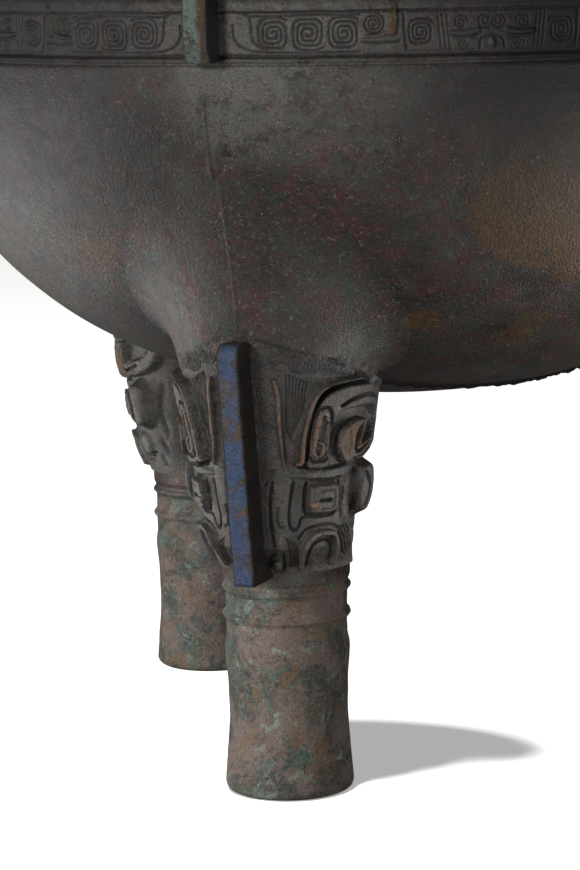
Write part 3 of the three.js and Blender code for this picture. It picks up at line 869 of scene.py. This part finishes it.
def makeMask(index, turn):
    m = mask
    fineness = 1.0 if index == 0 else m["rearThinning"]
    azimuths = maskAzimuths(fineness)
    below = 3  # rows under the mask's lower edge, back to the column
    ornament = np.linspace(0, m["ornamentShare"], int(m["rows"] * fineness) + 1)
    upper = np.linspace(m["ornamentShare"], 1, m["upperRows"] + 1)[1:]
    heights = np.concatenate([ornament, upper])
    maskRows = len(heights) - 1
    rows = maskRows + m["fairingRows"] + below
    piece, u, v = newGrid("leg_mask_%d" % (index + 1), len(azimuths) - 1, rows)
    azimuth = np.interp(u * (len(azimuths) - 1), np.arange(len(azimuths)), azimuths)
    row = np.round(v * rows).astype(int)
    column = np.round(u * (len(azimuths) - 1)).astype(int)
    fairing = {key: values[column] for key, values in fairingCurves(azimuths).items()}
    startZ = fairing["startZ"]
    onMask = heights[np.clip(row - below, 0, maskRows)]
    z = m["bottom"] + (startZ - m["bottom"]) * onMask
    r = maskRadius(azimuth, z)
    share = np.clip((row - below - maskRows) / m["fairingRows"], 0, 1)
    back = 1 - share
    weights = {"start": back**3, "low": 3 * back**2 * share, "high": 3 * back * share**2, "end": share**3}
    fairR = sum(weight * fairing[key + "R"] for key, weight in weights.items())
    fairZ = sum(weight * fairing[key + "Z"] for key, weight in weights.items())
    onFairing = row > below + maskRows
    r = np.where(onFairing, fairR, r)
    z = np.where(onFairing, fairZ, z)
    wrapped = (azimuth + math.pi) % (2 * math.pi) - math.pi
    degreesRound = np.degrees(np.abs(wrapped))
    s = degreesRound * m["degreeWidth"]
    s = s + 0.3 * castWaves(azimuth * 30, z, z * 0 + turn, 26, 5 + index)
    t = z + 0.3 * castWaves(z, azimuth * 30, z * 0 + turn, 31, 15 + index)
    relief = newRelief(s, t, (m["degreeWidth"], 1.0))
    carveMask(relief)
    lift = relief["up"] - relief["cut"]
    ends = softStep((z - m["bottom"]) / 2.2) * softStep((m["sideDegrees"] - degreesRound) / 5)
    lift = lift * ends
    x, y, z0 = placeOnLeg(r, azimuth, z, turn)
    lift = lift + 0.28 * castWaves(x, y, z, 22, 21) + 0.12 * castWaves(x, y, z, 5, 22)
    seam = 0.3 * softStep(1 - s / 0.8) * softStep((z - 204) / 6)
    lift = (lift + seam) * (1 - share**3)
    # the rows under the lower edge turn in to the column
    for k, inset in ((0, 8.0), (1, 3.4), (2, 0.9)):
        edgeRow = row == k
        r = np.where(edgeRow, maskRadius(azimuth, m["bottom"]) - inset, r)
        z0 = np.where(edgeRow, m["bottom"] - (0.0 if k == 2 else 0.7), z0)
    lift = np.where(row < below, 0, lift)
    x, y, _ = placeOnLeg(r + lift, azimuth, z, turn)
    setSpots(piece, x, y, z0)
    # painted shade in the cut lines and on the sunk ground, and a painted shadow in the hollow beside the
    # coil
    low = np.clip(relief["cut"], 0, 0.92) * ends
    inMask = softStep((203 - 0.21 * degreesRound - z) / 2) * ends
    ground = 0.3 * (1 - softStep(relief["up"] / 0.9)) * inMask
    coilShadow = softStep(5 - np.abs(z - 162) / 3) * softStep(1 - np.abs(degreesRound - 51) / 6)
    ground = ground + 0.3 * coilShadow * (relief["up"] < 1.5)
    tongue = softStep(1.5 - np.hypot((degreesRound - 61) * m["degreeWidth"] / 6, (z - 158.6) / 9))
    tongue = tongue * (relief["up"] > 3.4)
    side = np.where(wrapped > 0, 1.0, 0.7) if index == 0 else 0.7
    groove = softStep(1 - np.abs(z - (204.6 - 0.22 * degreesRound)) / 2.2)
    groove = groove * softStep((30 - degreesRound) / 12)
    colourLayers(
        piece, x, y, z0,
        wear=relief["wear"] * ends * side * softStep((100 - degreesRound) / 30),
        recess=np.maximum(low, ground),
        malachite=groove * 0.45 * (degreesRound > 5),
        ochre=0.85 * tongue,
        bloom=np.maximum(0.6 * tongue, 0.6 * inMask),
        crust=np.maximum(0.25 * inMask, 0.6 * softStep((110 - z) / 10)),
    )
    closeUp(piece)
    finish(piece)


def shaftProfile():
    f = leg
    points = [(0.0, 0.0), (f["footRadius"] - 12, 0.0), (f["footRadius"] - f["footRounding"], 0.0)]
    for k in range(1, 6):
        angle = k / 5 * math.pi / 2
        points.append((f["footRadius"] - f["footRounding"] * (1 - math.sin(angle)),
                       f["footRounding"] * (1 - math.cos(angle))))
    spine = through([(8, f["footRadius"] - 0.3), (20, 26.7), (f["waistHeight"], f["waistRadius"]),
                     (50, 26.4), (f["shoulderHeight"] - 1.5, f["shoulderRadius"])], 6)
    points += [(radius, z) for z, radius in spine]
    z = f["shoulderHeight"]
    narrowing = f["shoulderRadius"] - f["columnRadius"]
    top = mask["bottom"] + 4
    while z < top:
        z += 0.9
        radius = f["columnRadius"]
        radius += narrowing * float(softStep(1 - (z - f["shoulderHeight"]) / 6))
        radius += f["neck"] * float(softStep((z - f["neckHeight"]) / 4))
        for ring in f["ringHeights"]:
            radius += f["ringRelief"] * float(softStep(1 - abs(z - ring) / (f["ringWidth"] / 2)))
        points.append((radius, z))
    points.append((0.0, top))
    return np.array(points)


def makeShaft(index, turn):
    profile = shaftProfile()
    piece, u, v = newGrid("leg_shaft_%d" % (index + 1), leg["columns"], len(profile) - 1)
    azimuth = u * 2 * math.pi
    row = v * (len(profile) - 1)
    r = np.interp(row, np.arange(len(profile)), profile[:, 0])
    z = np.interp(row, np.arange(len(profile)), profile[:, 1])
    azimuth = np.where(u > 0.99999, 0.0, azimuth)
    x, y, _ = placeOnLeg(r, azimuth, z, turn)
    rough = 0.35 * castWaves(x, y, z, 24, 31) + 0.22 * castWaves(x, y, z, 6, 32)
    rough = rough + 0.1 * castWaves(x, y, z, 2.4, 33)
    rough = rough * softStep((r - 10) / 10) * softStep(z / 4)
    x, y, _ = placeOnLeg(r + rough, azimuth, z, turn)
    setSpots(piece, x, y, z)
    colourLayers(piece, x, y, z, crust=(1.0 if index == 0 else 0.55) * softStep((108 - z) / 30))
    closeUp(piece)
    finish(piece)


legFlange = {
    "bottom": 99.0,
    "top": 203.0,
    "thickness": 9.5,
    "root": 22.0,
    "reach": 14.3,
    "round": 5.0,
    "edge": 0.9,
    "step": 1.6,
}


# A standing plate: each row is a level, drawn as a closed section with softened front corners.
def makePlate(name, levels, half, soft, place):
    piece, u, v = newGrid(name, 31, len(levels) + 1)
    column = np.round(u * 31).astype(int) % 31
    rowAt = np.round(v * (len(levels) + 1)).astype(int)
    cap = (rowAt < 1) | (rowAt > len(levels))
    root, out, z = np.array(levels)[np.clip(rowAt - 1, 0, len(levels) - 1)].T
    # columns 0 to 10 go out along one side, 10 to 20 cross the front, 20 to 30 come back
    flank = out - soft - root
    rho = np.where(column <= 10, root + flank * np.clip(column / 10, 0, 1), out)
    rho = np.where(column >= 20, out - soft - flank * np.clip((column - 20) / 10, 0, 1), rho)
    side = np.clip((column - 10) / 10, 0, 1) * 2 - 1
    corner = np.clip((np.abs(side) - (1 - soft / half)) * half / soft, 0, 1)
    front = (column > 10) & (column < 20)
    rho = np.where(front, out - soft * (1 - np.sqrt(np.clip(1 - corner**2, 0, 1))), rho)
    rho = np.where(cap, (root + out) / 2, rho)
    x, y, z = place(rho, np.where(cap, 0, side * half), z)
    return piece, x, y, z, front & ~cap


def legFlangeEdge(z):
    return maskGround(z) + mask["swell"] + legFlange["reach"]


def makeLegFlange(index, turn):
    f = legFlange
    levels = []
    for z in np.arange(f["bottom"], f["top"] - f["round"], f["step"]):
        levels.append((f["root"], legFlangeEdge(z), z))
    for k in range(9):
        angle = k / 8 * math.pi / 2
        z = f["top"] - f["round"] + f["round"] * math.sin(angle)
        levels.append((f["root"], legFlangeEdge(z) - f["round"] * (1 - math.cos(angle)), z))

    def place(rho, w, z):
        bend = 0.5 * castWaves(z * 0, z, z, 60, 41 + index)
        rough = 0.3 * castWaves(rho + 7 * index, w * 3, z, 7, 43)
        w = w * (1 + 0.07 * castWaves(rho * 0.4, w * 0, z, 9, 45 + index))
        x = w + bend
        y = -leg["circle"] - rho - rough
        c, s = math.cos(math.radians(turn)), math.sin(math.radians(turn))
        return x * c - y * s, x * s + y * c, z

    name = "leg_flange_%d" % (index + 1)
    piece, x, y, z, front = makePlate(name, levels, f["thickness"] / 2, f["edge"], place)
    setSpots(piece, x, y, z)
    # the blue is strongest low down, and on the front leg
    low = 0.3 * softStep((160 - z) / 40)
    patchy = 0.9 + low + 0.5 * castWaves(x * 0, z * 0, z, 26, 44 + index)
    colourLayers(
        piece, x, y, z,
        azurite=(0.66 if index == 0 else 0.5) * front * patchy,
        wear=0.15 * front,
        ochre=0.34 * front,
        crust=0.4 * front,
        # the flange's sides are painted in shade
        recess=0.3 * ~front,
    )
    closeUp(piece)
    finish(piece)


for index, turn in enumerate(leg["turns"]):
    makeMask(index, turn)
    makeShaft(index, turn)
    makeLegFlange(index, turn)

# Ornament band, as two half rings of fine relief

band = {
    "low": 318.6,
    "high": 348.2,
    "ornamentTop": 341.0,
    "ornamentRows": 48,
    "rows": 54,
    "columns": 1560,
    "back": 3.0,
    "backRows": 4,
    "flangeThickness": 11.0,
    "flangeTaper": 0.2,
    "flangeReach": 13.0,
    "flangeEdge": 0.9,
}


# One twelfth of the band, as [degrees from a flange, height]; it is mirrored round each flange.
def carveBand(relief):
    width, depth = 0.72, 0.95
    raiseLine(relief, [(-1, 320.7), (15, 320.7), (31, 320.7)], 1.2, 0.7, 0.9)
    cutLine(relief, [(-1, 322.5), (15, 322.5), (31, 322.5)], 1.1, 1.2)
    cutLine(relief, [(-1, 340), (15, 340), (31, 340)], 0.9, 0.9)
    # framed panel of three squared spirals
    cutLine(relief, [(2.9, 335), (3.0, 330), (3.7, 326.4), (5.4, 324.4), (9, 323.8), (13, 323.8),
            (16.4, 324.2)], width, depth)
    cutLine(relief, [(3.9, 340), (4.9, 338.6), (9, 338.7), (13, 338.7), (16.4, 338.7)], width, depth)
    cutLine(relief, [(4.7, 338.6), (4.9, 334), (5.1, 328.6), (6.2, 325.6)], width, depth)
    for k, (azimuth, size) in enumerate([(7.3, 6.8), (11, 6.9), (14.7, 6.8)]):
        hand = 1 if k != 1 else -1
        start = 0.8 * hand
        cutSpiral(relief, (azimuth, 331.4), size, 1.85, 3.3, hand, 3.4, width, depth, start, stretch=1.02)
    # small round curl and the bar that drops from the border
    cutSpiral(relief, (17.75, 335.1), 4.4, 1.45, 2.8, -1, 2.1, 0.65, depth, start=1.2)
    raiseLine(relief, [(19.7, 341), (19.7, 336), (19.6, 331.8)], [3.7, 3.6, 3.3], 1.2, 0.8)
    raiseLine(relief, [(19.4, 331.6), (18.2, 330.2), (16.6, 329.9)], [2.0, 1.4, 1.0], 0.8, 0.7)
    cutLine(relief, [(16.6, 327.6), (18.6, 327.4), (20.4, 328)], width, depth)
    cutLine(relief, [(20.8, 338.6), (20.9, 331), (21.1, 325)], width, depth)
    # middle unit of each third
    cutSpiral(relief, (22.6, 331.4), 5.4, 1.6, 3.0, 1, 3.4, 0.7, depth, start=0.6)
    for k in range(3):
        cutLine(relief, [(24.3 + 0.45 * k, 338.5), (24.5 + 0.45 * k, 331), (24.7 + 0.45 * k, 324.4)],
                0.6, 0.6)
    cutSpiral(relief, (26.7, 335), 2.9, 1.4, 1.8, 1, 2.3, 0.6, depth)
    cutSpiral(relief, (29.2, 335.6), 3.1, 1.5, 1.9, -1, 2.3, 0.6, depth)
    raiseLine(relief, [(25.6, 331), (27, 330.6), (28.4, 331.4)], [1.6, 2.2], 0.9, 0.8)
    cutLine(relief, [(25.8, 329.4), (27.2, 328.6), (28.4, 329.2)], 0.6, 0.6)
    cutLine(relief, [(28.7, 324.6), (28.9, 328.2), (30, 330.2)], width, depth)
    cutSpiral(relief, (27, 326.6), 2.2, 1.3, 1.4, -1, 2.6, 0.6, 0.6)
    raiseBoss(relief, (30, 326.6), (2.6, 4), 0.9, 2.0, 0.4, 0.3)
    cutLine(relief, [(21, 324.2), (25, 324.1), (28, 324.2)], 0.6, 0.6)


def makeBand(index):
    b = band
    lastRow = b["rows"] + b["backRows"] + 2
    piece, u, v = newGrid("ornament_band_%d" % (index + 1), b["columns"], lastRow)
    row = np.round(v * lastRow).astype(int)
    front = row <= b["rows"]
    closing = row == lastRow
    t = np.interp(row, [0, b["ornamentRows"], b["rows"]], [b["low"], b["ornamentTop"], b["high"]])
    behind = np.clip((row - b["rows"] - 1) / b["backRows"], 0, 1)
    t = np.where(front, t, b["high"] - (b["high"] - b["low"]) * behind)
    t = np.where(closing, b["low"], t)
    azimuth = 180 * u + 180 * index
    folded = np.abs((azimuth + 30) % 60 - 30)
    degreeWidth = math.pi / 180 * bowl["radius"]
    s = folded * degreeWidth
    turn = np.radians(azimuth)
    cx, cy = bowl["radius"] * np.sin(turn), -bowl["radius"] * np.cos(turn)
    s = s + 0.3 * castWaves(cx, cy, t, 18, 51)
    tt = t + 0.22 * castWaves(cx, cy, t, 24, 52)
    relief = newRelief(s, tt, (degreeWidth, 1.0))
    carveBand(relief)
    # the threads are clear in places and rubbed in others
    worn = 0.75 + 0.35 * castWaves(cx, cy, t, 40, 53)
    lift = relief["up"] - relief["cut"] * np.clip(worn, 0.35, 1.1)
    edge = softStep((t - b["low"]) / 1.2)
    inBand = softStep((t - 322) / 1.2) * softStep((340.4 - t) / 1.2)
    r = bowl["radius"] + (lift * edge - 0.35 * inBand + 0.08 * castWaves(cx, cy, t, 6, 54)) + 0.15 * edge
    r = r + castWaves(cx, cy, t, 70, 3) * 0.55
    r = np.where(front | closing, r, bowl["radius"] - b["back"])
    x, y = r * np.sin(turn), -r * np.cos(turn)
    setSpots(piece, x, y, t)
    hook = softStep((relief["up"] - 0.6) / 0.4) * (folded > 16.4) * (folded < 20.8) * (t > 323)
    rust = softStep(castWaves(cx, cy, t * 3, 12, 57) * 3) * softStep(1 - np.abs(t - 320.7) / 1.5)
    nearFront = softStep((60 - np.abs((azimuth - 30 + 180) % 360 - 180)) / 30)
    colourLayers(
        piece, x, y, t,
        # painted shade in the cut threads
        recess=np.clip(relief["cut"] * 1.4, 0, 0.95) * front,
        bloom=0.8 * front * (relief["cut"] < 0.3),
        wear=0.2 * hook,
        ochre=np.maximum(0.85 * hook * (0.5 + 0.5 * nearFront), 0.6 * rust),
    )
    closeUp(piece)
    capEnds(piece)  # under a flange
    finish(piece)


for index in range(2):
    makeBand(index)


def makeBandFlange(index):
    b = band
    levels = []
    for z in np.linspace(bowl["bandBottom"] - 2.4, bowl["lipUnderside"] + 1, 19):
        slant = 3.4 * float(softStep(1 - (z - bowl["bandBottom"] + 2.4) / 6))
        levels.append((bowl["radius"] - 3, bowl["radius"] + b["flangeReach"] - slant, z))
    turn = math.radians(60 * index)

    def place(rho, w, z):
        rough = 0.3 * castWaves(rho + 11 * index, w * 2, z, 8, 61)
        taper = 2 * b["flangeTaper"] / b["flangeThickness"]
        w = w * (1 - taper * (rho - bowl["radius"]) / b["flangeReach"])
        out = rho + rough * (rho > bowl["radius"])
        x = w + 0.2 * castWaves(rho, w, z + 40 * index, 15, 62)
        return x * math.cos(turn) + out * math.sin(turn), x * math.sin(turn) - out * math.cos(turn), z

    name = "band_flange_%d" % (index + 1)
    piece, x, y, z, front = makePlate(name, levels, b["flangeThickness"] / 2, b["flangeEdge"], place)
    setSpots(piece, x, y, z)
    aside = x * math.cos(turn) + y * math.sin(turn)
    streak = softStep((aside - 0.6) / 2 + 0.7 * castWaves(x, y, z, 9, 63))
    colourLayers(
        piece, x, y, z,
        malachite=0.6 * front * (1 - 0.6 * streak),
        ochre=0.68 * front * streak,
        crust=front,
        # the flange's sides are painted in shade
        recess=0.62 * ~front,
    )
    closeUp(piece)
    finish(piece)


for index in range(6):
    makeBandFlange(index)

# Handles

handle = {
    "height": 92.0,
    "width": 90.0,
    "footWidth": 82.0,
    "thickness": 17.0,
    "bar": 21.0,
    "corner": 36.0,
    "lean": 4.0,
    "grooveWidth": 7.0,
    "grooveDepth": 2.0,
    "sunk": 4.0,
    "soft": 1.6,
}


def handlePath():
    h = handle
    inset = h["bar"] / 2
    half, foot = h["width"] / 2 - inset, h["footWidth"] / 2 - inset
    top, corner = h["height"] - inset, h["corner"] - inset
    rise = top - corner + h["sunk"]
    side = [(foot + (half - foot) * k / 10, -h["sunk"] + rise * k / 10) for k in range(11)]
    arc = [(half - corner + corner * math.cos(a), top - corner + corner * math.sin(a))
           for a in np.linspace(0.08, math.pi / 2, 14)]
    right = side + arc
    return np.array(right + [(-y, z) for y, z in right[::-1]])


def handleSection():
    h = handle
    a, b, soft, groove = h["bar"] / 2, h["thickness"] / 2, h["soft"], h["grooveWidth"] / 2
    points = []
    for cx, cy, start in ((a, b, 0), (-a, b, 90), (-a, -b, 180), (a, -b, 270)):
        corner = []
        for k in range(5):
            angle = math.radians(start + k * 22.5)
            corner.append((cx - math.copysign(soft, cx) + soft * math.cos(angle),
                           cy - math.copysign(soft, cy) + soft * math.sin(angle)))
        points += corner
        if start == 0:
            dip = h["grooveDepth"]
            points += [(groove + 0.8, b), (groove, b - 0.6), (groove - 0.6, b - dip), (0, b - dip - 0.2),
                       (0.6 - groove, b - dip), (-groove, b - 0.6), (-groove - 0.8, b)]
    return np.array(points + [points[0]])


def makeHandle(index, side):
    h = handle
    path = handlePath()
    section = handleSection()
    rows = len(path) + 1
    piece, u, v = newGrid("handle_%d" % (index + 1), len(section) - 1, rows)
    column = np.round(u * (len(section) - 1)).astype(int)
    rowAt = np.round(v * rows).astype(int)
    row = np.clip(rowAt - 1, 0, len(path) - 1)
    cap = (rowAt == 0) | (rowAt == rows)
    ahead = np.gradient(path, axis=0)
    ahead /= np.linalg.norm(ahead, axis=1)[:, None]
    outward = np.stack([ahead[:, 1], -ahead[:, 0]], 1)
    n = np.where(cap, 0, section[column, 0])
    d = np.where(cap, 0, section[column, 1])
    across = path[row, 0] + outward[row, 0] * n
    up = path[row, 1] + outward[row, 1] * n
    lean = math.radians(h["lean"])
    deep = d + h["thickness"] / 2
    middle = (bowl["radius"] - bowl["wall"] + bowl["lipRadius"]) / 2
    out = middle - h["thickness"] / 2 + deep * math.cos(lean) + up * math.sin(lean)
    z = bowl["rimTop"] - deep * math.sin(lean) + up * math.cos(lean)
    wave = 0.25 * (castWaves(out, across, z + 300 * index, 30, 71) - 1)
    x, y = side * (out + wave), side * across
    setSpots(piece, x, y, z + wave * (up > 10))
    groove = (np.abs(n) < h["grooveWidth"] / 2 - 0.5) & (d > 0)
    # painted shade in the groove
    colourLayers(piece, x, y, z, recess=0.35 * groove)
    closeUp(piece)
    finish(piece)


for index, side in enumerate((1, -1)):
    makeHandle(index, side)

# Floor, light and camera

stageLook = {
    "floor": "#f4f4f2",
    "floorGlow": 0.42,
    "world": 0.07,
    # place and aim in metres, size, power, which pieces it lights, and which alone shade it
    "lamps": {
        "key": ((-0.62, -2.15, 0.85), (0, 0, 0.25), 0.42, 21.0, "upper", None),
        "leg key": ((-1.4, -1.8, 0.85), (0, 0, 0.15), 0.42, 29.0, "shafts", None),
        "low side": ((-0.8, -0.5, 0.0), (0, -0.05, 0.22), 0.6, 2.6, "upper", None),
        "leg side": ((-0.8, -0.5, 0.0), (0, -0.05, 0.1), 0.6, 9.5, "shafts", None),
        "fill": ((0.42, -0.64, 0.02), (0, -0.08, 0.2), 0.6, 1.6, "casting", None),
        "leg fill": ((0.75, -0.75, 0.02), (0, -0.1, 0.06), 0.6, 3.2, "shafts", None),
        "under glow": ((-0.6, -0.08, 0.0), (-0.16, -0.08, 0.25), 0.5, 2.1, "wall", None),
        "right glow": ((0.5, 0.05, 0.0), (0.14, -0.04, 0.2), 0.4, 2.8, "wall", None),
        "back": ((-0.2, 1.9, 1.3), (0, 0, 0.25), 0.8, 26.0, "casting", None),
        "floor key": ((-0.35, -1.9, 3.9), (0.1, 0, 0), 0.3, 230.0, "floor", "front leg"),
    },
}


# Matt white board: no gloss, so it stays an even pale ground.
def plainMaterial(name, colour, glow):
    material = bpy.data.materials.new(name)
    material.use_nodes = True
    shader = material.node_tree.nodes["Principled BSDF"]
    shader.inputs["Base Color"].default_value = linear(colour)
    shader.inputs["Roughness"].default_value = 0.9
    shader.inputs["Emission Color"].default_value = linear(colour)
    shader.inputs["Emission Strength"].default_value = glow
    return material


def makeStage():
    deselectAll()
    bpy.ops.mesh.primitive_plane_add(size=12, location=(0, 0, 0))
    floor = bpy.context.active_object
    floor.name = "floor"
    floor.data.materials.append(plainMaterial("pale floor", stageLook["floor"], stageLook["floorGlow"]))
    # the pale floor doesn't brighten the dark underside of the bowl
    floor.visible_diffuse = False
    floor.visible_glossy = False
    world = bpy.data.worlds.new("soft light")
    bpy.context.scene.world = world
    world.use_nodes = True
    background = world.node_tree.nodes["Background"]
    background.inputs["Color"].default_value = (1, 1, 1, 1)
    background.inputs["Strength"].default_value = stageLook["world"]
    return floor


# A soft lamp aimed at a point. It lights the objects of one group, and those of another shade it.
def addLight(name, place, aim, size, power, lit, shading=None):
    light = bpy.data.lights.new(name, "AREA")
    light.size = size
    light.energy = power
    lamp = bpy.data.objects.new(name, light)
    bpy.context.scene.collection.objects.link(lamp)
    lamp.location = place
    lamp.rotation_euler = (Vector(aim) - Vector(place)).to_track_quat("-Z", "Y").to_euler()
    lamp.light_linking.receiver_collection = lit
    if shading:
        lamp.light_linking.blocker_collection = shading


def group(name, pieces):
    made = bpy.data.collections.new(name)
    for piece in pieces:
        made.objects.link(piece)
    return made


viewpoint = {"pitch": 9.04, "turn": 21.17, "roll": -1.12, "distance": 1563.8, "aside": 49.87, "height": 383.2,
             "focal": 138.4, "film": 36.0}


def makeCamera():
    v = viewpoint
    turn = math.radians(v["turn"])
    data = bpy.data.cameras.new("camera")
    data.sensor_width = v["film"]
    data.lens = v["focal"]
    data.clip_end = 50
    camera = bpy.data.objects.new("camera", data)
    bpy.context.scene.collection.objects.link(camera)
    x = -v["aside"] * math.cos(turn) + v["distance"] * math.sin(turn)
    y = -v["aside"] * math.sin(turn) - v["distance"] * math.cos(turn)
    camera.matrix_world = (
        Matrix.Translation((x * mm, y * mm, v["height"] * mm))
        @ Matrix.Rotation(turn, 4, "Z")
        @ Matrix.Rotation(math.pi / 2 - math.radians(v["pitch"]), 4, "X")
        @ Matrix.Rotation(math.radians(v["roll"]), 4, "Z")
    )
    bpy.context.scene.camera = camera


floor = makeStage()
pieces = [piece for piece in bpy.context.scene.objects if piece.type == "MESH" and piece != floor]
named = {piece.name: piece for piece in pieces}
groups = {
    "casting": group("lit casting", pieces),
    "front leg": group("front leg", [named[kind + "_1"] for kind in ("leg_mask", "leg_shaft", "leg_flange")]),
    "shafts": group("lit shafts", [p for p in pieces if p.name.startswith("leg_shaft")]),
    "upper": group("lit upper part", [p for p in pieces if not p.name.startswith("leg_shaft")]),
    "wall": group("lit wall", [p for p in pieces if p.name.startswith(("bowl", "leg_mask"))]),
    "floor": group("lit floor", [floor]),
}
for name, (place, aim, size, power, lit, shading) in stageLook["lamps"].items():
    addLight(name, place, aim, size, power, groups[lit], groups.get(shading))
makeCamera()
bpy.context.scene.view_settings.view_transform = "Standard"
print("stage ready")
